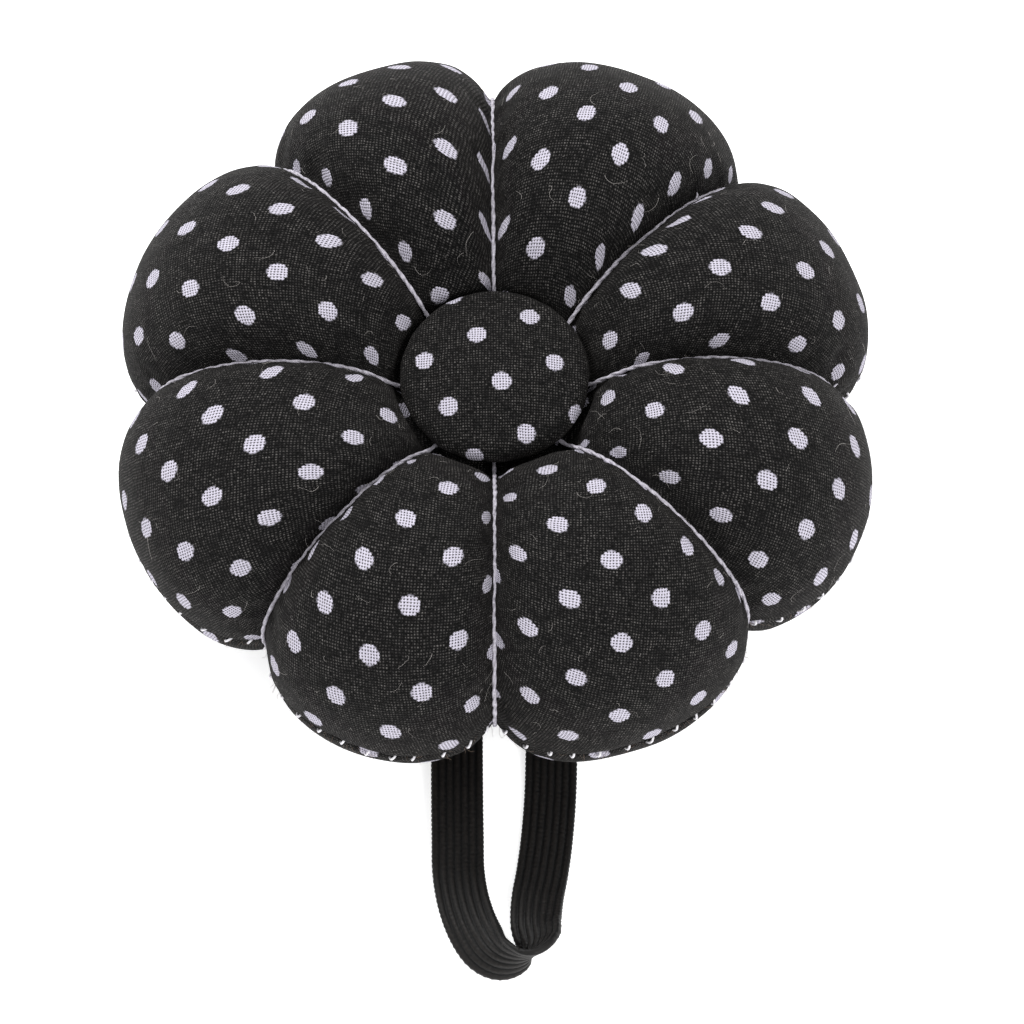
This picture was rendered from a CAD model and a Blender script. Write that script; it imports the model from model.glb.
import bmesh
import bpy
import math
import random
from mathutils import Matrix, Vector, noise


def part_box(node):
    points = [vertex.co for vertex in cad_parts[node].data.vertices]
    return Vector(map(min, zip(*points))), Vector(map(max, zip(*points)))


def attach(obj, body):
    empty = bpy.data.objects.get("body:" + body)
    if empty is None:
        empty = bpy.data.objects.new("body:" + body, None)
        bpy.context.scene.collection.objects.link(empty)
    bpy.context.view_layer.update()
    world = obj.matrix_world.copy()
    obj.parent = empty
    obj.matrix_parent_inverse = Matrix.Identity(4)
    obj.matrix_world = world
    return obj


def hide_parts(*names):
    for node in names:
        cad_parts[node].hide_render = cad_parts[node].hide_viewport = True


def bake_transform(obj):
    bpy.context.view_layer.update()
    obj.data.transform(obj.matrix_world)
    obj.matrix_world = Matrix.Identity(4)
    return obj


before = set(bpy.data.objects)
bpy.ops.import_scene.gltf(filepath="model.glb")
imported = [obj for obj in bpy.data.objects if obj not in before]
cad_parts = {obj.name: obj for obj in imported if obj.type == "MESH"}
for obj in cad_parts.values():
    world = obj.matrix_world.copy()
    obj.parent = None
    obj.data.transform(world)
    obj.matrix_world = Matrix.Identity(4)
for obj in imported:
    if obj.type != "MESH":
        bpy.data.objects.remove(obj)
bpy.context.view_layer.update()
MM = 0.001

# ------------------------------------------------------------------ table, light and camera
# A softly glowing white table, a large soft light over the cushion's far left and a weaker one
# on the near right, so that only a faint shadow falls.


def linear(code):
    """sRGB hex colour as linear RGBA."""
    channels = [int(code[k:k + 2], 16) / 255 for k in (1, 3, 5)]
    return tuple(c / 12.92 if c <= 0.04045 else ((c + 0.055) / 1.055) ** 2.4 for c in channels) + (1.0,)


def add_node(tree, kind, inputs=None, **settings):
    """One shader node with its settings; inputs holds constants or sockets, by name or number."""
    node = tree.nodes.new(kind)
    for key, value in settings.items():
        setattr(node, key, value)
    for key, value in (inputs or {}).items():
        if isinstance(value, bpy.types.NodeSocket):
            tree.links.new(value, node.inputs[key])
        else:
            node.inputs[key].default_value = value
    return node


def new_material(name, base, roughness, sheen=0.0, sheen_tint="#FFFFFF", sheen_roughness=0.5,
                 metallic=0.0, gloss=0.5):
    """Material with its principled shader's plain values set on the shader's own sockets."""
    material = bpy.data.materials.new(name)
    material.use_nodes = True
    shader = material.node_tree.nodes["Principled BSDF"]
    shader.inputs["Base Color"].default_value = linear(base)
    shader.inputs["Roughness"].default_value = roughness
    shader.inputs["Metallic"].default_value = metallic
    shader.inputs["Specular IOR Level"].default_value = gloss
    shader.inputs["Sheen Weight"].default_value = sheen
    shader.inputs["Sheen Tint"].default_value = linear(sheen_tint)
    shader.inputs["Sheen Roughness"].default_value = sheen_roughness
    return material, material.node_tree, shader


def finished_mesh(name, bm, material):
    """Object made from a bmesh, with outward faces and one material."""
    bmesh.ops.recalc_face_normals(bm, faces=bm.faces[:])
    mesh = bpy.data.meshes.new(name)
    bm.to_mesh(mesh)
    bm.free()
    obj = bpy.data.objects.new(name, mesh)
    bpy.context.scene.collection.objects.link(obj)
    mesh.materials.append(material)
    for polygon in mesh.polygons:
        polygon.use_smooth = True
    return obj


paper, _, paper_shader = new_material("white_light_table", "#FFFFFF", 0.9)
paper_shader.inputs["Emission Color"].default_value = linear("#FFFFFF")
paper_shader.inputs["Emission Strength"].default_value = 0.62
table_bm = bmesh.new()
bmesh.ops.create_grid(table_bm, x_segments=2, y_segments=2, size=2.0)
table = finished_mesh("table_top", table_bm, paper)


LIGHT_SIZE = 0.40
LIGHT_AIM = Vector((0, 0, 0.01))


def soft_light(name, place, watts):
    """Round area light at a place, turned to the cushion."""
    light = bpy.data.lights.new(name, "AREA")
    light.shape = "DISK"
    light.size = LIGHT_SIZE
    light.energy = watts
    obj = bpy.data.objects.new(name, light)
    obj.location = place
    obj.rotation_mode = "QUATERNION"
    obj.rotation_quaternion = (LIGHT_AIM - Vector(place)).to_track_quat("-Z", "Y")
    bpy.context.scene.collection.objects.link(obj)


soft_light("window", (-0.25, 0.42, 0.55), 5.0)
soft_light("near_fill", (0.35, -0.45, 0.50), 2.6)
world = bpy.data.worlds.new("studio")
world.use_nodes = True
world.node_tree.nodes["Background"].inputs["Color"].default_value = linear("#FFFFFF")
world.node_tree.nodes["Background"].inputs["Strength"].default_value = 0.85
bpy.context.scene.world = world
bpy.context.scene.view_settings.view_transform = "Standard"

CAMERA_ELEVATION = math.radians(64)
CAMERA_DISTANCE = 0.80
VIEW_WIDTH = 0.127205             # width of the view at the cushion
camera_data = bpy.data.cameras.new("camera")
camera_data.sensor_width = 36
camera_data.lens = camera_data.sensor_width * CAMERA_DISTANCE / VIEW_WIDTH
camera_aim = Vector((0.0021, -0.0079, 0.0041))
camera = bpy.data.objects.new("camera", camera_data)
camera_back = Vector((0, -math.cos(CAMERA_ELEVATION), math.sin(CAMERA_ELEVATION)))
camera.location = camera_aim + camera_back * CAMERA_DISTANCE
camera.rotation_mode = "QUATERNION"
camera.rotation_quaternion = (-camera_back).to_track_quat("-Z", "Y")
bpy.context.scene.collection.objects.link(camera)
bpy.context.scene.camera = camera

# ------------------------------------------------------------------ cotton cloth
# Plain-weave cotton printed black with white spots.  The print sits on the tops of the yarns, so
# the pinholes of the weave show dark in the spots and pale in the black.

YARN_PITCH = 0.35                 # mm between yarns
SPOT_PITCH = 7.2                  # mm, square repeat
SPOT_RADIUS = 1.17
SPOT_EDGE = 0.07                  # mm of soft edge each side
SPOT_TURN = math.radians(-37)
BLACKS = "#050505", "#0F0E0F"     # flat and raised yarn
PINHOLE_SHADE = "#7C7976"
SPOT_SHADE = "#C4C0CE"


def maths(tree, operation, first, second=0.5):
    """Result of a sum on numbers or sockets."""
    return add_node(tree, "ShaderNodeMath", {0: first, 1: second}, operation=operation).outputs[0]


def vector_maths(tree, operation, first, second):
    """Result of a sum on vectors; SCALE takes a number second."""
    key = "Scale" if operation == "SCALE" else 1
    return add_node(tree, "ShaderNodeVectorMath", {0: first, key: second}, operation=operation).outputs[0]


def spread(tree, value, low, high, to_low=0.0, to_high=1.0, **settings):
    """Value carried from the range low to high over to another range."""
    return add_node(tree, "ShaderNodeMapRange", {0: value, 1: low, 2: high, 3: to_low, 4: to_high},
                    **settings).outputs[0]


def mixed(tree, factor, first, second):
    """Colour between two colours, each a hex code or a socket."""
    first, second = [linear(c) if isinstance(c, str) else c for c in (first, second)]
    return add_node(tree, "ShaderNodeMix", {"Factor": factor, "A": first, "B": second},
                    data_type="RGBA").outputs["Result"]


def noise_level(tree, place, scale, detail, roughness=0.5):
    """Soft noise between 0 and 1 over a place socket."""
    return add_node(tree, "ShaderNodeTexNoise", {"Vector": place, "Scale": scale, "Detail": detail,
                                                 "Roughness": roughness}).outputs["Fac"]


def add_bump(tree, shader, height, strength, depth):
    """Fine relief on a shader; depth in mm."""
    bump = add_node(tree, "ShaderNodeBump", {"Height": height, "Strength": strength, "Distance": depth * MM})
    tree.links.new(bump.outputs[0], shader.inputs["Normal"])


def cotton_material(name, spot_turn, spot_shift, spots=True):
    """Printed cotton: the pattern follows the flat cloth held in the UV map, in metres."""
    material, tree, shader = new_material(name, "#141313", 0.85, 0.05, "#8C8580", 0.5, gloss=0.10)
    flat = add_node(tree, "ShaderNodeUVMap", uv_map="flat_cloth").outputs[0]
    in_mm = vector_maths(tree, "SCALE", flat, 1000.0)
    wander = add_node(tree, "ShaderNodeTexNoise", {"Vector": in_mm, "Scale": 0.35, "Detail": 2.0})
    wander = vector_maths(tree, "SUBTRACT", wander.outputs["Color"], (0.5, 0.5, 0.5))
    cloth = vector_maths(tree, "ADD", in_mm, vector_maths(tree, "SCALE", wander, 0.5))
    yarns = vector_maths(tree, "SCALE", cloth, math.pi / YARN_PITCH)
    parts = add_node(tree, "ShaderNodeSeparateXYZ", {0: yarns}).outputs
    ridges = [maths(tree, "ABSOLUTE", maths(tree, "SINE", parts[axis])) for axis in (0, 1)]
    crossing = maths(tree, "MULTIPLY", *ridges)
    widest = maths(tree, "MAXIMUM", *ridges)
    pinhole = spread(tree, widest, 0.90, 0.52, interpolation_type="SMOOTHSTEP")
    slub = noise_level(tree, in_mm, 2.6, 3.0, 0.7)
    slub_level = spread(tree, slub, 0.40, 0.62)
    patches = spread(tree, noise_level(tree, in_mm, 0.55, 4.0, 0.75), 0.36, 0.66, 0.05)
    pale = maths(tree, "MULTIPLY", maths(tree, "MULTIPLY", pinhole, slub_level), patches)
    pale = maths(tree, "MULTIPLY", pale, 0.68)
    colour = mixed(tree, pale, mixed(tree, slub_level, *BLACKS), PINHOLE_SHADE)
    if spots:
        stepped = vector_maths(tree, "SNAP", cloth, (YARN_PITCH,) * 3)
        stepped = vector_maths(tree, "ADD", stepped, (YARN_PITCH / 2,) * 3)
        edge = add_node(tree, "ShaderNodeMix", {"Factor": 0.6, "A": in_mm, "B": stepped},
                        data_type="VECTOR").outputs["Result"]
        shift = (spot_shift[0] / SPOT_PITCH, spot_shift[1] / SPOT_PITCH, 0)
        place = add_node(tree, "ShaderNodeMapping", {
            "Vector": edge, "Location": shift, "Rotation": (0, 0, -spot_turn),
            "Scale": (1 / SPOT_PITCH,) * 3}).outputs[0]
        cell = add_node(tree, "ShaderNodeVectorMath", {0: place}, operation="FRACTION").outputs[0]
        cell = vector_maths(tree, "SUBTRACT", cell, (0.5, 0.5, 0.0))
        cell = vector_maths(tree, "MULTIPLY", cell, (1, 1, 0))
        away = add_node(tree, "ShaderNodeVectorMath", {0: cell}, operation="LENGTH").outputs["Value"]
        spot = spread(tree, away, (SPOT_RADIUS + SPOT_EDGE) / SPOT_PITCH,
                      (SPOT_RADIUS - SPOT_EDGE) / SPOT_PITCH)
        spot = maths(tree, "MULTIPLY", spot, spread(tree, pinhole, 0.0, 1.0, 1.0, 0.05))
        spot = maths(tree, "MULTIPLY", spot, spread(tree, slub, 0.3, 0.6, 0.78, 1.0))
        colour = mixed(tree, spot, colour, SPOT_SHADE)
    tree.links.new(colour, shader.inputs["Base Color"])
    add_bump(tree, shader, maths(tree, "ADD", crossing, maths(tree, "MULTIPLY", slub, 0.5)), 0.9, 0.10)
    return material


cushion_cotton = cotton_material("cotton_plain_weave_spotted", SPOT_TURN, (SPOT_PITCH / 2, SPOT_PITCH / 2))

# ------------------------------------------------------------------ cushion covers
# Two discs of the cotton, seamed at the rim, stuffed hard and pulled into eight lobes by the
# wraps.  The filled skin is blown up as cloth held along the wraps and under the button and card.

LOBES = 8
CREST = (29.3, 18.0, 17.6)        # mm: centre radius, half width and half height of the oval up a lobe
VALLEY = (26.2, 15.2, 11.7)       # mm: the same for the oval in a crease
MID_Z = 17.4
SEAM_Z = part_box("base_cover")[1].z / MM
DIMPLE_Z = 20.9
HOLLOW_Z = 7.7
COLUMNS_PER_LOBE = 26
FLOOR_ROWS = 6
OVAL_ROWS_TOP = 40
OVAL_ROWS_BASE = 26
SIM_SCALE = 12.0                  # the cloth is blown up near a metre across
SIM_FRAMES = 20
MOST_SWELL = 2.2                  # mm that the filling may push the cloth out
STITCHES = 101                    # along the rim
SEAM_DRAW = 0.45                  # mm that the seam draws the rim in
CLOTH_THICKNESS = 0.35
band_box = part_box("elastic_leg_left"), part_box("elastic_leg_right")


def crease_azimuth(k):
    """Where a wrap crosses the rim, in radians."""
    corners = [v.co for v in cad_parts[f"wrap_thread_{k + 1}"].data.vertices]
    reach = max(c.xy.length for c in corners)
    far = [c for c in corners if c.xy.length > 0.98 * reach]
    middle = sum(far, Vector()) / len(far)
    return math.atan2(middle.y, middle.x) % (2 * math.pi)


creases = sorted((crease_azimuth(k) + 0.1) % (2 * math.pi) - 0.1 for k in range(LOBES))
creases.append(creases[0] + 2 * math.pi)


def fullness(share, angle):
    """How far the lobe stands out: 1 at its middle, 0 at the wrap; steeper on top than at the rim."""
    return (1 - abs(share) ** 2.4) ** (0.56 + 0.30 * max(0.0, math.cos(angle)) ** 3)


def oval_point(angle, share):
    """Radius and height on the lobe's oval at this angle above the horizontal, in mm."""
    out = fullness(share, angle)
    centre, wide, high = [low + (top - low) * out for low, top in zip(VALLEY, CREST)]
    return centre + wide * math.cos(angle), MID_Z + high * math.sin(angle)


TOP_ANGLE = math.pi - math.asin(0.28)             # where the oval meets the dimple
SEAM_ANGLE = -math.asin((MID_Z - SEAM_Z) / CREST[2])
LOW_ANGLE = -math.pi + math.asin(0.5)             # where it meets the hollow over the card
CORE_RADIUS = 2.0                                 # mm, opening round the tie thread


def profile(row, share):
    """Radius and height of the cover at a row, counted from under the button to under the card."""
    if row < FLOOR_ROWS:
        edge_r, edge_z = oval_point(TOP_ANGLE, share)
        part = row / FLOOR_ROWS
        return CORE_RADIUS + (edge_r - CORE_RADIUS) * part, DIMPLE_Z + (edge_z - DIMPLE_Z) * part ** 2
    row -= FLOOR_ROWS
    if row <= OVAL_ROWS_TOP:
        return oval_point(TOP_ANGLE + (SEAM_ANGLE - TOP_ANGLE) * row / OVAL_ROWS_TOP, share)
    row -= OVAL_ROWS_TOP
    if row <= OVAL_ROWS_BASE:
        return oval_point(SEAM_ANGLE + (LOW_ANGLE - SEAM_ANGLE) * row / OVAL_ROWS_BASE, share)
    edge_r, edge_z = oval_point(LOW_ANGLE, share)
    part = 1 - (row - OVAL_ROWS_BASE) / FLOOR_ROWS
    return CORE_RADIUS + (edge_r - CORE_RADIUS) * part, HOLLOW_Z + (edge_z - HOLLOW_Z) * part ** 2


SEAM_ROW = FLOOR_ROWS + OVAL_ROWS_TOP
LAST_ROW = SEAM_ROW + OVAL_ROWS_BASE + FLOOR_ROWS
COLUMNS = LOBES * COLUMNS_PER_LOBE


def crowd(x):
    """Spreads columns so that they lie closer near the wraps."""
    return math.sin(x * math.pi / 2) * 0.55 + x * 0.45


def column_place(column):
    """Azimuth of a column and its share of the way from its lobe's middle to the wrap."""
    lobe, step = divmod(column, COLUMNS_PER_LOBE)
    share = crowd(2 * step / COLUMNS_PER_LOBE - 1)
    if lobe == LOBES:
        lobe, share = LOBES - 1, 1.0
    middle = (creases[lobe] + creases[lobe + 1]) / 2
    return middle + share * (creases[lobe + 1] - creases[lobe]) / 2, share


def skin_place(row, column):
    """Corner of the skin before it is blown up, in metres."""
    azimuth, share = column_place(column)
    r, z = profile(row, share)
    return Vector((r * math.cos(azimuth), r * math.sin(azimuth), z)) * MM


def skin_grid():
    """Flat grid of columns by rows, with the row and column of each corner kept on it."""
    bm = bmesh.new()
    bmesh.ops.create_grid(bm, x_segments=COLUMNS, y_segments=LAST_ROW, size=1.0)
    row_key = bm.verts.layers.int.new("row")
    column_key = bm.verts.layers.int.new("column")
    for v in bm.verts:
        v[column_key] = round((v.co.x + 1) / 2 * COLUMNS)
        v[row_key] = round((1 - v.co.y) / 2 * LAST_ROW)
    return bm, row_key, column_key


skin, row_key, column_key = skin_grid()
for v in skin.verts:
    v.co = skin_place(v[row_key], v[column_key]) * SIM_SCALE
bmesh.ops.remove_doubles(skin, verts=skin.verts[:], dist=0.01 * MM * SIM_SCALE)
for v in skin.verts:
    v[column_key] = v[column_key] % COLUMNS
row_of = [v[row_key] for v in skin.verts]
column_of = [v[column_key] for v in skin.verts]
start_places = [v.co.copy() / SIM_SCALE for v in skin.verts]
blown = finished_mesh("blown_skin", skin, cushion_cotton)


def held(row, column):
    """1 along the wraps, under the button and over the card, where the cloth can't move; else 0."""
    covered = row <= FLOOR_ROWS - 1 or row >= LAST_ROW - FLOOR_ROWS - 3
    return 1.0 if covered or column % COLUMNS_PER_LOBE == 0 else 0.0


def blow_up(obj):
    """Cloth solver: the skin swells against the wraps and keeps the small folds that form beside them."""
    group = obj.vertex_groups.new(name="held")
    for index, (row, column) in enumerate(zip(row_of, column_of)):
        group.add([index], held(row, column), "REPLACE")
    modifier = obj.modifiers.new("cloth", "CLOTH")
    settings = modifier.settings
    settings.quality = 6
    settings.mass = 0.15
    settings.tension_stiffness = 25
    settings.compression_stiffness = 12
    settings.shear_stiffness = 6
    settings.bending_stiffness = 0.4
    settings.shrink_min = -0.035
    settings.vertex_group_mass = "held"
    settings.use_pressure = True
    settings.uniform_pressure_force = 4.0
    settings.effector_weights.gravity = 0.0
    modifier.point_cache.frame_start = 1
    modifier.point_cache.frame_end = SIM_FRAMES
    modifier.collision_settings.use_collision = False
    for frame_number in range(1, SIM_FRAMES + 1):
        bpy.context.scene.frame_set(frame_number)
    bpy.context.view_layer.update()
    evaluated = obj.evaluated_get(bpy.context.evaluated_depsgraph_get())
    places = [v.co.copy() / SIM_SCALE for v in evaluated.data.vertices]
    bpy.context.scene.frame_set(1)
    obj.modifiers.remove(modifier)
    return places


button_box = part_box("button_cloth")
BUTTON_REACH = button_box[1].x + 0.75 * MM
BAND_LIFT = 3.6                   # mm that the cloth rises over the elastic
BAND_SLOPE = 2.5                  # mm in which it comes down beside it
blown_places = blow_up(blown)
bpy.data.objects.remove(blown)


def over_band(place):
    """Lifts the cloth over the flat elastic that runs out under it."""
    low_x, high_x = band_box[0][0].x - 0.5 * MM, band_box[1][1].x + 0.5 * MM
    beside = max(low_x - place.x, place.x - high_x, 0.0) / (BAND_SLOPE * MM)
    near = 1.0 if place.y < band_box[0][1].y + 0.002 else 0.0
    lift = max(0.0, 1 - beside) * near
    least = (0.12 + BAND_LIFT * min(1.0, lift * 1.6)) * MM if lift > 0 else 0.05 * MM
    return max(place.z, least)


def outward(place):
    """Level direction from the cushion's axis to a place."""
    return Vector((place.x, place.y, 0)).normalized()


def ripple(place, row, column):
    """Slight lumps of the filling and small gathers beside the wraps."""
    if held(row, column) or row == FLOOR_ROWS:
        return Vector()
    step = column % COLUMNS_PER_LOBE
    beside = min(step, COLUMNS_PER_LOBE - step)
    lump = 0.42 * noise.noise(place / (11 * MM)) + 0.16 * noise.noise(place / (4.0 * MM) + Vector((9, 3, 1)))
    gather = 0.32 * noise.noise(Vector((column // COLUMNS_PER_LOBE * 5.1, row * 0.42, 0.5)))
    gather *= math.exp(-beside / 3.0)
    middle = outward(place) * CREST[0] * MM + Vector((0, 0, MID_Z * MM))
    return (place - middle).normalized() * (lump + gather) * min(1.0, beside / 2.0) * MM


def off_button(place):
    """Keeps the swelling lobes a little clear of the button's edge."""
    short = BUTTON_REACH - place.xy.length
    above = place.z / MM - DIMPLE_Z - 0.8
    if short > 0 and above > 0:
        return place + outward(place) * short * min(1.0, above / 1.2)
    return place


places = {}
for index, (start, blown_place) in enumerate(zip(start_places, blown_places)):
    move = blown_place - start
    if move.length > MOST_SWELL * MM:
        move = move.normalized() * MOST_SWELL * MM
    place = start + move
    place = off_button(place + ripple(place, row_of[index], column_of[index]))
    place.z = over_band(place)
    places[row_of[index], column_of[index]] = place


# How each lobe's cloth lies once it is gathered: stretch and skew (xx, xy, yx, yy) and slip in mm.
CLOTH_LAY = [
    (0.859, 0.180, -0.036, 1.103, 3.43, -2.36),
    (1.040, -0.239, 0.117, 0.859, 4.65, 3.37),
    (0.762, -0.132, 0.454, 1.072, 6.61, -1.53),
    (0.855, -0.138, 0.058, 1.100, 2.19, 0.25),
    (0.895, -0.159, -0.027, 0.993, 5.58, -2.81),
    (0.945, -0.096, 0.156, 0.889, 7.86, 3.03),
    (0.912, 0.002, 0.062, 1.022, 4.98, 2.32),
    (0.930, 0.190, 0.037, 0.939, 5.91, -2.11),
]


def flatten_lobe(lobe):
    """Measures one lobe's cloth out flat: distance down its middle, then sideways along each row."""
    middle = lobe * COLUMNS_PER_LOBE + COLUMNS_PER_LOBE // 2
    azimuth, _ = column_place(middle)
    forward = Vector((math.cos(azimuth), math.sin(azimuth)))
    side = Vector((-math.sin(azimuth), math.cos(azimuth)))
    run = places[0, middle].xy.length
    flat = {}
    for row in range(LAST_ROW + 1):
        if row:
            run += (places[row, middle] - places[row - 1, middle]).length
        for direction in (1, -1):
            reach = 0.0
            flat[row, middle] = forward * run
            for step in range(1, COLUMNS_PER_LOBE // 2 + 1):
                column = middle + direction * step
                near = places[row, (column - direction) % COLUMNS]
                reach += (places[row, column % COLUMNS] - near).length
                flat[row, column] = forward * run + side * direction * reach
    xx, xy, yx, yy, slip_x, slip_y = CLOTH_LAY[lobe]
    return {key: Vector((xx * p.x + xy * p.y + slip_x * MM, yx * p.x + yy * p.y + slip_y * MM))
            for key, p in flat.items()}


lobe_flats = [flatten_lobe(lobe) for lobe in range(LOBES)]


def cover_piece(first_row, last_row):
    """Part of the skin between two rows, with its flat cloth as UV map."""
    bm, row_key, column_key = skin_grid()
    unwanted = [v for v in bm.verts if not first_row <= v[row_key] <= last_row]
    bmesh.ops.delete(bm, geom=unwanted, context="VERTS")
    flat_map = bm.loops.layers.uv.new("flat_cloth")
    for face in bm.faces:
        lobe = min(v.link_loops[0].vert[column_key] for v in face.verts) // COLUMNS_PER_LOBE
        for loop in face.loops:
            loop[flat_map].uv = lobe_flats[lobe][loop.vert[row_key], loop.vert[column_key]]
    for v in bm.verts:
        v.co = places[v[row_key], v[column_key] % COLUMNS]
    bmesh.ops.remove_doubles(bm, verts=bm.verts[:], dist=0.001 * MM)
    bmesh.ops.recalc_face_normals(bm, faces=bm.faces[:])
    return bm


def pucker(place):
    """The seam draws the rim in, a little deeper at each stitch."""
    away = (place.z - SEAM_Z * MM) / MM
    azimuth = math.atan2(place.y, place.x)
    beat = 0.5 + 0.5 * math.cos(azimuth * STITCHES)
    draw = SEAM_DRAW * math.exp(-(away / 0.75) ** 2) * (0.75 + 0.5 * beat)
    return place - outward(place) * draw * MM


def sewn_cover(name, node, first_row, last_row):
    """Padded cover between two rows, smoothed, puckered at the seam and given the cloth's thickness."""
    cover = finished_mesh(name, cover_piece(first_row, last_row), cushion_cotton)
    smoother = cover.modifiers.new("smoother", "SUBSURF")
    smoother.levels = smoother.render_levels = 1
    bpy.context.view_layer.update()
    evaluated = cover.evaluated_get(bpy.context.evaluated_depsgraph_get())
    mesh = bpy.data.meshes.new_from_object(evaluated)
    cover.modifiers.remove(smoother)
    cover.data = mesh
    for v in mesh.vertices:
        v.co = pucker(v.co)
        v.co.z = max(v.co.z, 0.02 * MM)
    thicken = cover.modifiers.new("thickness", "SOLIDIFY")
    thicken.thickness = CLOTH_THICKNESS * MM
    thicken.offset = -1
    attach(cover, "cushion")
    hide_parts(node)


sewn_cover("top_cloth", "top_cover", 0, SEAM_ROW)
sewn_cover("base_cloth", "base_cover", SEAM_ROW, LAST_ROW)

# ------------------------------------------------------------------ filling
# Polyester fibre packed into the covers: it follows them a cloth's thickness inside.

FILLING_GAP = 1.1                 # mm from the skin to the filling


def object_noise(tree, scale, detail):
    """Noise fixed to the piece itself."""
    return noise_level(tree, add_node(tree, "ShaderNodeTexCoord").outputs["Object"], scale, detail)


fibre, tree, shader = new_material("polyester_fibre", "#F1EFEA", 0.95, 0.3)
add_bump(tree, shader, object_noise(tree, 900.0, 6.0), 0.8, 0.4)

filling_bm = cover_piece(0, LAST_ROW)
bmesh.ops.bridge_loops(filling_bm, edges=[e for e in filling_bm.edges if e.is_boundary])
bmesh.ops.recalc_face_normals(filling_bm, faces=filling_bm.faces[:])
filling_bm.normal_update()
for v in filling_bm.verts:
    v.co -= v.normal * FILLING_GAP * MM
    v.co.z = max(v.co.z, 0.9 * MM)
    short = CORE_RADIUS * MM - v.co.xy.length
    if short > 0:
        v.co += outward(v.co) * short
filling = finished_mesh("fibre_filling", filling_bm, fibre)
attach(filling, "cushion")
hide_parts("stuffing")

# ------------------------------------------------------------------ rim stitches
# White sewing thread oversewn along the rim where the two discs meet, one slanting stitch about
# every 2.8 mm, with a few raw yarn ends standing out of the seam.

random.seed(7)
STITCH_THREAD = 0.30              # mm
STITCH_REACH = 0.50               # mm each side of the seam


def thread_mesh(name, runs, thickness, material, rounds=2):
    """Round thread along each run of points (place, relative thickness), as one mesh."""
    curve = bpy.data.curves.new(name, "CURVE")
    curve.dimensions = "3D"
    curve.bevel_depth = thickness / 2 * MM
    curve.bevel_resolution = rounds
    curve.use_fill_caps = True
    for run in runs:
        spline = curve.splines.new("POLY")
        spline.points.add(len(run) - 1)
        for point, (place, girth) in zip(spline.points, run):
            point.co = (*place, 1)
            point.radius = girth
    holder = bpy.data.objects.new(name, curve)
    bpy.context.scene.collection.objects.link(holder)
    evaluated = holder.evaluated_get(bpy.context.evaluated_depsgraph_get())
    mesh = bpy.data.meshes.new_from_object(evaluated)
    bpy.data.objects.remove(holder)
    bm = bmesh.new()
    bm.from_mesh(mesh)
    bpy.data.meshes.remove(mesh)
    bmesh.ops.remove_doubles(bm, verts=bm.verts[:], dist=0.0005 * MM)
    return finished_mesh(name, bm, material)


def thread_material(name, dark, light):
    """Spun thread: soft changes of shade along it and a faint fuzz."""
    material, tree, shader = new_material(name, light, 0.62, 0.25, light, 0.4, gloss=0.35)
    shade = object_noise(tree, 2200.0, 4.0)
    tree.links.new(mixed(tree, spread(tree, shade, 0.35, 0.65), dark, light), shader.inputs["Base Color"])
    add_bump(tree, shader, shade, 0.5, 0.05)
    return material


white_thread = thread_material("white_sewing_thread", "#C9C6CC", "#EDEBEF")
seam_ring = [pucker(places[SEAM_ROW, column]) for column in range(COLUMNS)]
ring_steps = [(seam_ring[(k + 1) % COLUMNS] - seam_ring[k]).length for k in range(COLUMNS)]
ring_length = sum(ring_steps)


def on_seam(distance):
    """Place and direction on the seam ring at a distance along it."""
    distance %= ring_length
    for k, step in enumerate(ring_steps):
        if distance <= step:
            break
        distance -= step
    here, there = seam_ring[k], seam_ring[(k + 1) % COLUMNS]
    return here.lerp(there, distance / step), (there - here).normalized()


def stitch(distance):
    """One oversewn stitch: out of the lower cloth, over the seam and into the upper."""
    slant = random.uniform(0.25, 0.75)
    reach = STITCH_REACH * random.uniform(0.8, 1.15)
    run = []
    for k in range(7):
        part = k / 3 - 1
        place, _ = on_seam(distance + slant * part * 0.6 * MM)
        stand = 0.52 * (1 - part ** 2) - 0.05 + 0.10 * part ** 2
        run.append((place + outward(place) * stand * MM + Vector((0, 0, part * reach * MM)), 1.0))
    return run


stitch_pitch = ring_length / STITCHES
stitches = [stitch((k + random.uniform(-0.12, 0.12)) * stitch_pitch) for k in range(STITCHES)]
rim_stitches = thread_mesh("rim_oversewing", stitches, STITCH_THREAD, white_thread)
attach(rim_stitches, "cushion")
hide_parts("rim_seam_stitches")

YARN_ENDS = 330
yarn_fuzz = thread_material("cut_yarn_ends", "#4A3C33", "#7A6A5E")


def loose_hair(start, heading, up, length, curl, girth=1.0):
    """One curly fibre lying near a surface."""
    turn, place, run, steps = 0.0, start.copy(), [], 9
    rate = random.uniform(-curl, curl)
    side = up.cross(heading)
    for k in range(steps + 1):
        run.append((place + up * random.uniform(0, 0.06) * MM, girth * (1 - 0.5 * k / steps)))
        turn += rate + random.uniform(-0.3, 0.3)
        place = place + (heading * math.cos(turn) + side * math.sin(turn)) * length / steps
    return run


hairs = []
for _ in range(YARN_ENDS):
    place, along = on_seam(random.uniform(0, ring_length))
    start = place + Vector((0, 0, random.uniform(-0.9, 0.1) * MM))
    lean = outward(place) + along * random.uniform(-1.2, 1.2) + Vector((0, 0, random.uniform(-0.8, 0.5)))
    hairs.append(loose_hair(start, lean.normalized(), Vector((0, 0, 1)), random.uniform(0.6, 1.5) * MM, 0.25))
frayed_rim = thread_mesh("frayed_yarn_ends", hairs, 0.05, yarn_fuzz, rounds=0)
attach(frayed_rim, "cushion")

# ------------------------------------------------------------------ wraps
# Doubled grey thread, lightly twisted, drawn tight from the middle out under the button, over the
# rim and back under to the middle, eight times.

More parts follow.
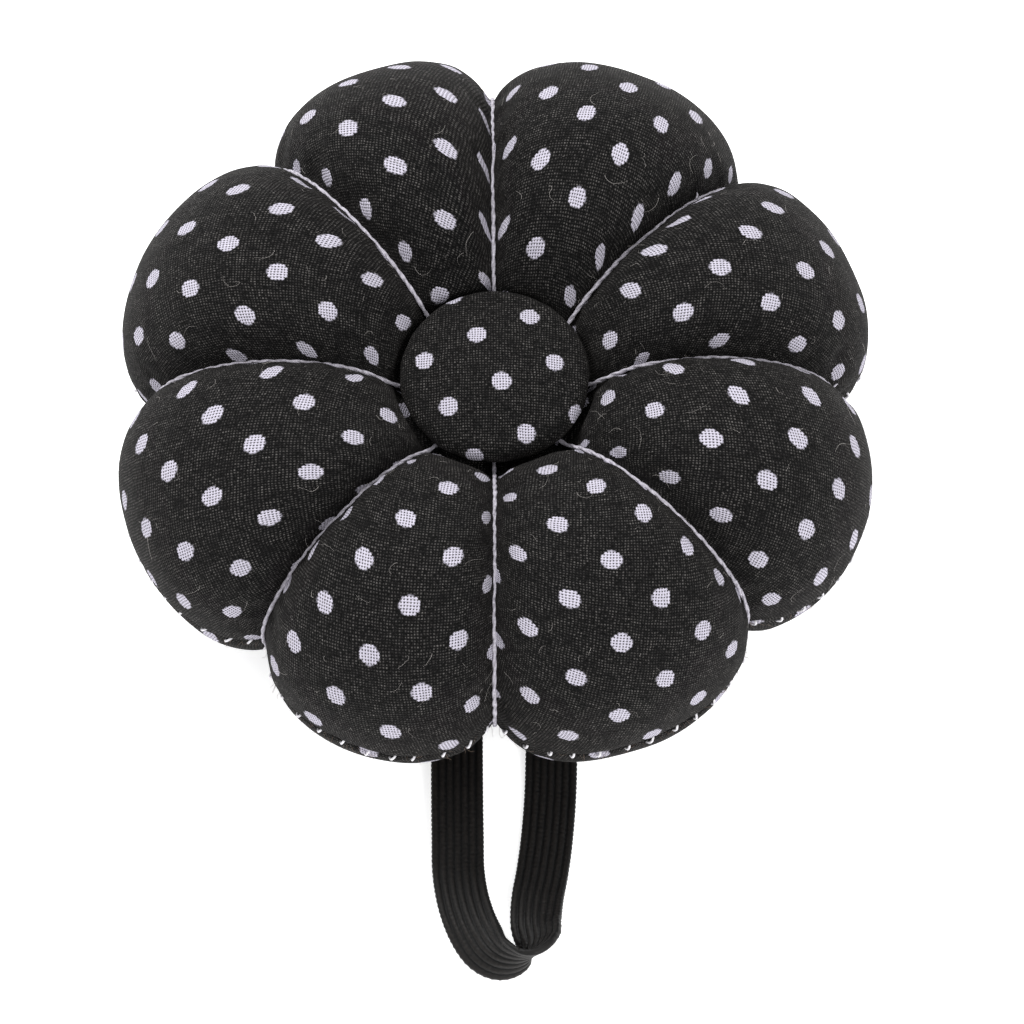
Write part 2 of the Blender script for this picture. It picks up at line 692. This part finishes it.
STRAND = 0.38                     # mm thick
TWIST_RADIUS = 0.09
TWIST_PITCH = 3.8
WRAP_LIFT = 0.50                  # mm from the crease to the thread's middle
WRAP_STEP = 0.25
grey_thread = thread_material("grey_sewing_thread", "#96929B", "#C2BEC8")
wrap_top = Vector((1.75, 20.94))
wrap_low = Vector((1.75, 7.66))
pressed = Vector((button_box[1].x / MM + 0.35, button_box[0].z / MM - 0.86))


def taut_path():
    """Radius and height of the wrap, in mm: under the button's edge, then tight round the crease."""
    centre, wide, high = VALLEY
    oval = []
    for k in range(241):
        angle = math.pi - k * 2 * math.pi / 240
        out = Vector((math.cos(angle) / wide, math.sin(angle) / high)).normalized()
        crease = Vector((centre + wide * math.cos(angle), MID_Z + high * math.sin(angle)))
        oval.append(crease + out * WRAP_LIFT)
    first = max(range(120), key=lambda k: math.atan2(oval[k].y - pressed.y, oval[k].x - pressed.x))
    last = min(range(121, 240), key=lambda k: math.atan2(oval[k].y - wrap_low.y, oval[k].x - wrap_low.x))
    bend = [wrap_top.lerp(pressed, 0.90), wrap_top.lerp(pressed, 0.97), pressed.lerp(oval[first], 0.05),
            pressed.lerp(oval[first], 0.14)]
    corners = [wrap_top] + bend + oval[first:last + 1] + [wrap_low]
    path, left = [corners[0]], 0.0
    for here, there in zip(corners, corners[1:]):
        length = (there - here).length
        along = WRAP_STEP - left
        while along <= length:
            path.append(here.lerp(there, along / length))
            along += WRAP_STEP
        left = length - (along - WRAP_STEP)
    return path


wrap_run = taut_path()


def wrap_frame(azimuth, k):
    """Place on a wrap in mm, with the directions along it, to its side and up off the cloth."""
    out = Vector((math.cos(azimuth), math.sin(azimuth), 0))
    side = Vector((-math.sin(azimuth), math.cos(azimuth), 0))
    ahead = (wrap_run[k + 1] - wrap_run[k - 1]).normalized()
    place = out * wrap_run[k].x + Vector((0, 0, wrap_run[k].y))
    return place, out * ahead.x + Vector((0, 0, ahead.y)), side, out * -ahead.y + Vector((0, 0, ahead.x))


def wrap_strands(azimuth, seed):
    """The two strands of one wrap, twisted about each other."""
    strands = []
    for half in (0, math.pi):
        run = []
        for k in range(1, len(wrap_run) - 1):
            place, _, side, lift = wrap_frame(azimuth, k)
            wander = noise.noise(Vector((k * 0.05, seed * 7.3, 0.0)))
            turn = k * WRAP_STEP / TWIST_PITCH * 2 * math.pi + half + 2.4 * wander
            apart = TWIST_RADIUS * (1 + 0.35 * noise.noise(Vector((k * 0.09, seed * 3.1, 5.0))))
            bulge = side * math.cos(turn) * apart + lift * math.sin(turn) * apart
            run.append(((place + side * wander * 0.14 + bulge) * MM, 1.0))
        strands.append(run)
    return strands


WRAP_TAILS = ((0, 0.47, 5.0), (0, 0.49, 3.0), (1, 0.36, 2.6))     # wrap, share of the way along, mm long


def wrap_tail(number, share, length):
    """A loose end of one strand standing away from its wrap."""
    place, ahead, side, lift = wrap_frame(crease_azimuth(number), int(share * len(wrap_run)))
    heading = (ahead + side * random.uniform(0.5, 0.9) + lift * 0.25).normalized()
    return loose_hair((place + lift * 0.3) * MM, heading, lift, length * MM, 0.25)


tails = thread_mesh("wrap_loose_ends", [wrap_tail(*tail) for tail in WRAP_TAILS], 0.26, grey_thread)
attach(tails, "cushion")
for number in range(LOBES):
    strands = wrap_strands(crease_azimuth(number), number)
    wrap = thread_mesh(f"wrap_{number + 1}", strands, STRAND, grey_thread)
    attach(wrap, "cushion")
    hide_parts(f"wrap_thread_{number + 1}")

# ------------------------------------------------------------------ covered button
# A pressed metal shell dressed in the spotted cotton, whose edge is gathered in behind it.  The
# cloth is drawn tight over a shallow dome and has slight tucks at the rim.

BUTTON_RADIUS = button_box[1].x / MM
BUTTON_LOW = button_box[0].z / MM
BUTTON_HIGH = button_box[1].z / MM
BUTTON_EDGE = 1.5                 # mm, roundness of the rim
BUTTON_CLOTH = 0.38
DOME_SHARE = 0.80                 # of the radius, before the rim's curve begins
BUTTON_HEM = 9.5                  # mm, radius of the gathered edge behind
button_cotton = cotton_material("cotton_plain_weave_button", math.radians(25), (-3.36, -1.09))


def button_outline(inset):
    """Radius and height from the top of the dome round the rim to behind it, in mm."""
    side_z = BUTTON_LOW + BUTTON_EDGE * 1.05
    radius = BUTTON_RADIUS - inset
    outline = []
    for k in range(25):
        part = k / 24 * DOME_SHARE
        fall = (BUTTON_HIGH - side_z - 0.9) * (part / DOME_SHARE) ** 2.0 * 0.62
        outline.append(Vector((radius * part, BUTTON_HIGH - inset - fall)))
    shoulder = outline[-1]
    for k in range(1, 13):
        angle = math.radians(90 - k * 7.5)
        wide, high = radius - shoulder.x, shoulder.y - side_z
        outline.append(Vector((shoulder.x + wide * math.cos(angle), side_z + high * math.sin(angle))))
    for k in range(1, 9):
        angle = math.radians(-k * 11.25)
        edge = BUTTON_EDGE - inset
        outline.append(Vector((radius - edge + edge * math.cos(angle), side_z + edge * math.sin(angle))))
    outline.append(Vector((BUTTON_HEM, BUTTON_LOW + inset)))
    return outline


def spun(outline, steps):
    """Solid of revolution about z from (radius, height) corners in mm."""
    bm = bmesh.new()
    line = [bm.verts.new((r * MM, 0, z * MM)) for r, z in outline]
    edges = [bm.edges.new(pair) for pair in zip(line, line[1:])]
    bmesh.ops.spin(bm, geom=line + edges, cent=(0, 0, 0), axis=(0, 0, 1), angle=2 * math.pi,
                   steps=steps, use_merge=True, use_duplicate=False)
    bmesh.ops.remove_doubles(bm, verts=bm.verts[:], dist=0.002 * MM)
    return bm


outer_line = button_outline(0.0)
button_bm = spun(outer_line + button_outline(BUTTON_CLOTH)[::-1], 120)
reach = [0.0]
for a, b in zip(outer_line, outer_line[1:]):
    reach.append(reach[-1] + (b - a).length)


def run_down(r, z):
    """Distance over the button's cloth from the top of its dome to this radius and height, in mm."""
    nearest = min(range(len(outer_line)), key=lambda k: (outer_line[k] - Vector((r, z))).length)
    return reach[nearest] + (r - outer_line[nearest].x if nearest < 30 else 0.0)


flat_map = button_bm.loops.layers.uv.new("flat_cloth")
for face in button_bm.faces:
    for loop in face.loops:
        co = loop.vert.co
        r = co.xy.length
        run = run_down(r / MM, co.z / MM) * MM
        loop[flat_map].uv = (co.x / r * run, co.y / r * run) if r > 1e-9 else (0.0, 0.0)
for v in button_bm.verts:
    r = v.co.xy.length
    if r < 0.6 * BUTTON_RADIUS * MM:
        continue
    azimuth = math.atan2(v.co.y, v.co.x)
    near_rim = min(1.0, (r / MM / BUTTON_RADIUS - 0.6) / 0.4) ** 2
    below = min(1.0, max(0.0, (BUTTON_LOW + 2.4 - v.co.z / MM) / 2.4))
    tuck = noise.noise(Vector((math.cos(azimuth) * 6, math.sin(azimuth) * 6, v.co.z / MM * 0.25)))
    push = near_rim * (0.10 + 0.22 * below) * tuck
    v.co += outward(v.co) * push * MM
button_cover = finished_mesh("button_cotton", button_bm, button_cotton)
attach(button_cover, "button")
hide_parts("button_cloth")

# ------------------------------------------------------------------ wrist elastic
# One length of 6 mm braided elastic with seven lengthwise ribs.  Both ends are sewn flat under the
# card and the loop lies on the table, turned over once where it bends.

BAND_WIDTH = 6.4                  # mm
BAND_THICKNESS = 1.0
RIBS = 7
BRAID_PITCH = 0.6
BAND_STEP = 0.2
left_x = (band_box[0][0].x + band_box[0][1].x) / 2 / MM
right_x = (band_box[1][0].x + band_box[1][1].x) / 2 / MM
END_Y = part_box("elastic_end_left")[1].y / MM
JOIN_Y = -24.0                    # where the loop leaves the sewn ends
HINGE_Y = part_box("elastic_leg_left")[1].y / MM

elastic, tree, shader = new_material("braided_elastic", "#12100F", 0.48, 0.06, "#6B625C", 0.35, gloss=0.22)
braid = add_node(tree, "ShaderNodeUVMap", uv_map="braid").outputs[0]
parts = add_node(tree, "ShaderNodeSeparateXYZ", {0: braid}).outputs
rib_wave = maths(tree, "SINE", maths(tree, "MULTIPLY", parts[0], RIBS * math.pi))
along = maths(tree, "MULTIPLY", parts[1], 1.0 / (BRAID_PITCH * MM))
along = maths(tree, "ADD", along, maths(tree, "MULTIPLY", rib_wave, 0.15))
yarn_wave = maths(tree, "SINE", maths(tree, "MULTIPLY", along, 2 * math.pi))
height = maths(tree, "ADD", maths(tree, "MULTIPLY", yarn_wave, 0.06), object_noise(tree, 2600.0, 4.0))
shade = maths(tree, "MULTIPLY", height, maths(tree, "ABSOLUTE", rib_wave))
colour = mixed(tree, spread(tree, shade, 0.15, 0.65), "#040404", "#1B1816")
tree.links.new(colour, shader.inputs["Base Color"])
add_bump(tree, shader, height, 0.6, 0.12)


def band_ring(place, ahead, tilt, beat):
    """Corners of the ribbed section at a place, turned by tilt about the way ahead."""
    side = ahead.cross(Vector((0, 0, 1))).normalized()
    up = side.cross(ahead).normalized()
    wide = side * math.cos(tilt) + up * math.sin(tilt)
    thick = ahead.cross(wide)
    half = BAND_WIDTH / 2 * (0.985 + 0.015 * beat)
    steps = RIBS * 6
    ring = []
    for face_side in (1, -1):
        for k in range(steps + 1):
            part = k / steps
            rib = abs(math.sin(part * RIBS * math.pi))
            stand = BAND_THICKNESS / 2 * (0.55 + 0.45 * rib ** 0.5)
            across = (part * 2 - 1) * face_side
            ring.append((place + wide * half * across + thick * stand * face_side, part))
    return ring


def smooth_stations(stations, pitch):
    """Stations (x, y, z, tilt) joined by a smooth line and cut at an even pitch."""
    line = []
    for k in range(len(stations) - 1):
        p0, p1 = stations[max(k - 1, 0)], stations[k]
        p2, p3 = stations[k + 1], stations[min(k + 2, len(stations) - 1)]
        for step in range(60):
            t = step / 60
            line.append([0.5 * (2 * b + (c - a) * t + (2 * a - 5 * b + 4 * c - d) * t * t
                                + (3 * b - a - 3 * c + d) * t ** 3) for a, b, c, d in zip(p0, p1, p2, p3)])
    line.append(list(stations[-1]))
    even, gone, target = [line[0]], 0.0, pitch
    for here, there in zip(line, line[1:]):
        length = (Vector(there[:3]) - Vector(here[:3])).length
        while length and gone + length >= target:
            part = (target - gone) / length
            even.append([a + (b - a) * part for a, b in zip(here, there)])
            target += pitch
        gone += length
    return even


def ribbon(name, stations):
    """Ribbed band through the stations, closed at both ends, with its width and length as UV map."""
    line = smooth_stations(stations, BAND_STEP)
    bm = bmesh.new()
    braid_map = bm.loops.layers.uv.new("braid")
    rings, marks = [], {}
    for k, station in enumerate(line):
        before, after = line[max(k - 1, 0)], line[min(k + 1, len(line) - 1)]
        ahead = (Vector(after[:3]) - Vector(before[:3])).normalized()
        beat = math.cos(k * BAND_STEP / BRAID_PITCH * 2 * math.pi)
        ring = []
        for place, part in band_ring(Vector(station[:3]), ahead, math.radians(station[3]), beat):
            v = bm.verts.new(place * MM)
            marks[v] = (part, k * BAND_STEP * MM)
            ring.append(v)
        rings.append(ring)
    for here, there in zip(rings, rings[1:]):
        for k in range(len(here)):
            n = (k + 1) % len(here)
            bm.faces.new((here[k], here[n], there[n], there[k]))
    bm.faces.new(rings[0])
    bm.faces.new(rings[-1][::-1])
    for face in bm.faces:
        for loop in face.loops:
            loop[braid_map].uv = marks[loop.vert]
    return finished_mesh(name, bm, elastic)


left_leg = [(left_x, JOIN_Y, 2.55, 0), (left_x, -30, 2.15, 0), (left_x + 0.1, -44, 2.0, 0),
            (left_x + 0.2, -51, 2.0, 0)]
turn_over = [
    (left_x + 0.3, -55.4, 2.1, -3), (left_x + 0.9, -59.4, 2.4, -8), (left_x + 2.0, -62.9, 2.7, -17),
    (left_x + 3.5, -65.6, 2.9, -33), (left_x + 5.4, -67.1, 3.2, -56), (left_x + 7.6, -67.4, 3.5, -84),
    (left_x + 9.4, -66.6, 3.8, -114), (left_x + 10.0, -64.8, 3.4, -143), (left_x + 9.7, -62.2, 2.7, -164),
    (left_x + 9.9, -58.8, 1.8, -174), (left_x + 10.5, -55.0, 1.0, -178)]
right_leg = [(right_x - 0.6, -50, 0.6, -180), (right_x - 0.15, -43, 0.6, -180), (right_x, -32, 1.6, -180),
             (right_x, -28, 2.3, -180), (right_x, JOIN_Y, 2.55, -180)]
loop = ribbon("elastic_loop", left_leg + turn_over + right_leg)
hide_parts("elastic_leg_left", "elastic_leg_right", "elastic_bend")
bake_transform(loop)

for name, x in (("left", left_x), ("right", right_x)):
    sewn = ribbon(f"elastic_sewn_{name}", [(x, END_Y, 2.72, 0), (x, -18, 2.72, 0), (x, HINGE_Y, 2.70, 0),
                                           (x, JOIN_Y - 0.3, 2.55, 0)])
    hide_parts(f"elastic_end_{name}")
    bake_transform(sewn)

# ------------------------------------------------------------------ card and its cover
# A stiff card disc dressed in plain black cotton, turned in over its edge and sewn under the
# cushion to hide the knots; it is what rests on the wrist.

card_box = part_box("base_board_cloth")
card_radius, card_top = card_box[1].x / MM, card_box[1].z / MM
plain_cotton = cotton_material("cotton_plain_weave_black", 0.0, (0, 0), spots=False)
card_line = [
    (0, 0.02), (card_radius - 0.8, 0.02), (card_radius - 0.35, 0.14), (card_radius - 0.08, 0.45),
    (card_radius, card_top / 2), (card_radius - 0.08, card_top - 0.45), (card_radius - 0.35, card_top - 0.12),
    (card_radius - 0.8, card_top), (card_radius - 5.0, card_top), (card_radius - 5.0, card_top - 0.36),
    (card_radius - 0.75, card_top - 0.38), (card_radius - 0.36, card_top / 2), (card_radius - 0.75, 0.40),
    (0, 0.40)]
card_bm = spun(card_line, 128)
flat_map = card_bm.loops.layers.uv.new("flat_cloth")
for face in card_bm.faces:
    for face_loop in face.loops:
        face_loop[flat_map].uv = face_loop.vert.co.xy
card_cover = finished_mesh("card_cotton", card_bm, plain_cotton)
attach(card_cover, "cushion")
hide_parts("base_board_cloth")

# ------------------------------------------------------------------ small parts kept from the frame
# The button's metal, the card, the knots and the hand stitches keep their shape and take the
# finish of what they are made of.


def dress(node, material):
    """Gives a CAD node its material."""
    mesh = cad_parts[node].data
    mesh.materials.clear()
    mesh.materials.append(material)


def metal_material(name, code, roughness):
    """Drawn or pressed metal with fine rubbed marks."""
    material, tree, shader = new_material(name, code, roughness, metallic=1.0)
    marks = spread(tree, object_noise(tree, 1500.0, 5.0), 0.0, 1.0, roughness - 0.1, roughness + 0.15)
    tree.links.new(marks, shader.inputs["Roughness"])
    return material


black_thread = thread_material("black_sewing_thread", "#0E0D0D", "#262423")
card_board, tree, shader = new_material("grey_card", "#8F8778", 0.9)
pulp = mixed(tree, object_noise(tree, 1200.0, 5.0), "#7C7466", "#A39B8B")
tree.links.new(pulp, shader.inputs["Base Color"])
dress("base_board", card_board)
for node in ("core_thread", "core_knot", "tie_thread"):
    dress(node, grey_thread)
for node in ("base_board_stitches", "tack_left", "tack_right"):
    dress(node, black_thread)
aluminium = metal_material("pressed_aluminium", "#C9CBCD", 0.35)
for node in ("button_cap", "button_back"):
    dress(node, aluminium)
dress("button_shank", metal_material("steel_wire", "#B9BABC", 0.28))

# ------------------------------------------------------------------ lint
# Fine pale fibres and dust caught on the black cotton and the elastic.

random.seed(23)
LINT_FIBRES = 280
LINT_LENGTHS = 0.4, 0.7, 1.0, 1.4, 2.0, 3.2       # mm
lint_white, _, _ = new_material("lint_fibre", "#9C9793", 0.7, 0.2)
lint = []
for _ in range(LINT_FIBRES):
    row = random.randrange(FLOOR_ROWS + 4, SEAM_ROW - 2)
    column = random.randrange(COLUMNS)
    here = places[row, column]
    next_row, next_column = places[row + 1, column], places[row, (column + 1) % COLUMNS]
    heading = (next_row - here).normalized()
    up = (next_row - here).cross(next_column - here).normalized()
    if up.dot(here - outward(here) * CREST[0] * MM - Vector((0, 0, MID_Z * MM))) < 0:
        up = -up
    turn = Matrix.Rotation(random.uniform(0, 2 * math.pi), 3, up)
    length = random.choice(LINT_LENGTHS) * MM
    lint.append(loose_hair(here + up * 0.06 * MM, turn @ heading, up, length, 0.28, random.uniform(0.6, 1.2)))
lint_fibres = thread_mesh("lint_fibres", lint, 0.032, lint_white, rounds=0)
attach(lint_fibres, "cushion")
